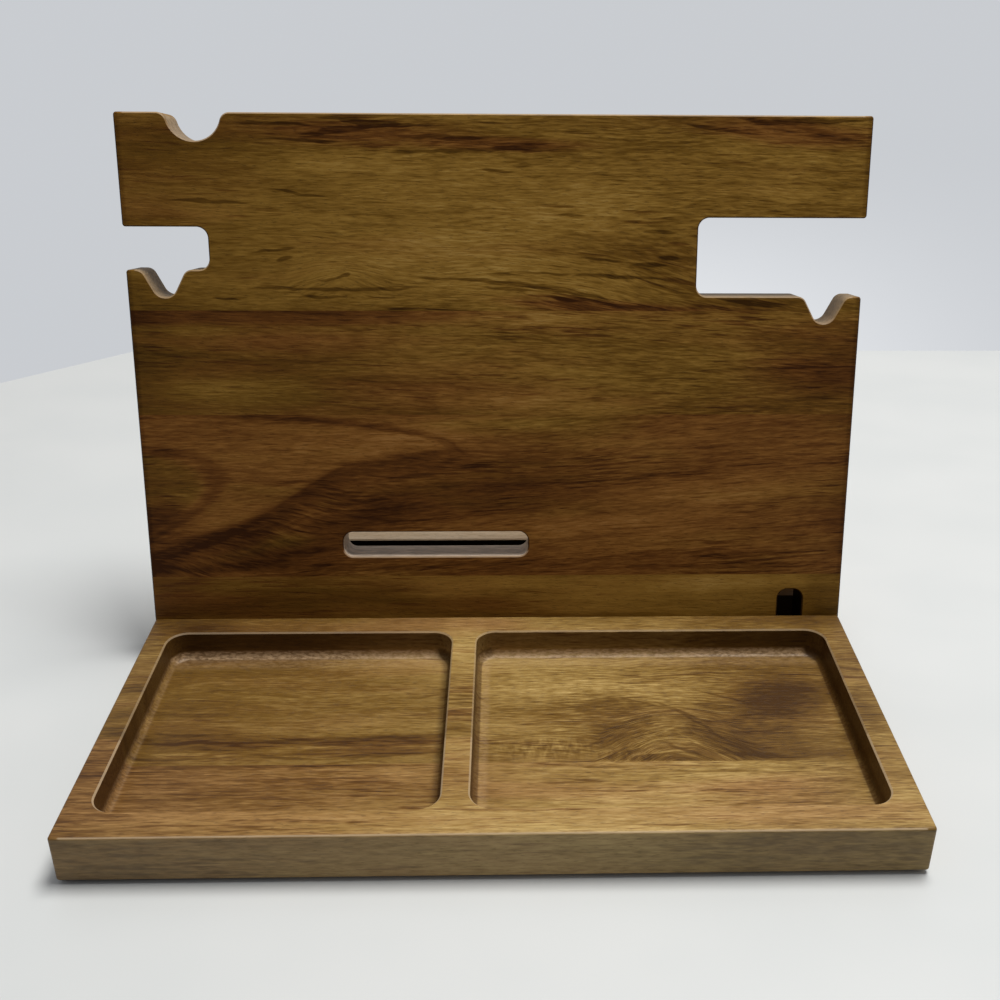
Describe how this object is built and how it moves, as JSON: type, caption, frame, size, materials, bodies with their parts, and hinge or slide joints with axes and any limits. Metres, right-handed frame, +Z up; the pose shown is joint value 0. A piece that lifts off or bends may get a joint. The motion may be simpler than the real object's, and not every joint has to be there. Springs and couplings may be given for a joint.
{
  "type": "dresser organiser stand",
  "caption": "Free-standing wooden valet stand: flat base with recessed tray pockets, back panel leaning back with side cut-outs, hook notches, a slot and a cable arch.",
  "frame": {"origin": "on the ground under the middle of the base", "axes": "+X to the right along the panel's width, +Y to the back, +Z up; the front faces -Y"},
  "size_m": [0.3, 0.206, 0.2265],
  "materials": {
    "panel_top_board": "satin oil",
    "panel_second_board": "satin oil",
    "panel_third_board": "satin oil",
    "panel_foot_board": "satin oil",
    "base_front_board": "satin oil",
    "base_middle_board": "satin oil",
    "base_back_board": "satin oil",
    "cable_rail_board": "satin oil",
    "screw_steel": "zinc plated",
    "pad_rubber": "matt"
  },
  "bodies": {
    "root": {"base_front": "base_front_board", "base_middle": "base_middle_board", "base_back": "base_back_board", "cable_rail": "cable_rail_board", "panel_bottom": "panel_foot_board", "panel_lower": "panel_third_board", "panel_middle": "panel_second_board", "panel_upper": "panel_top_board", "hook_tip": "panel_top_board", "screws": "screw_steel", "pad_front_left": "pad_rubber", "pad_front_right": "pad_rubber", "pad_back_left": "pad_rubber", "pad_back_right": "pad_rubber"}
  },
  "joints": []
}
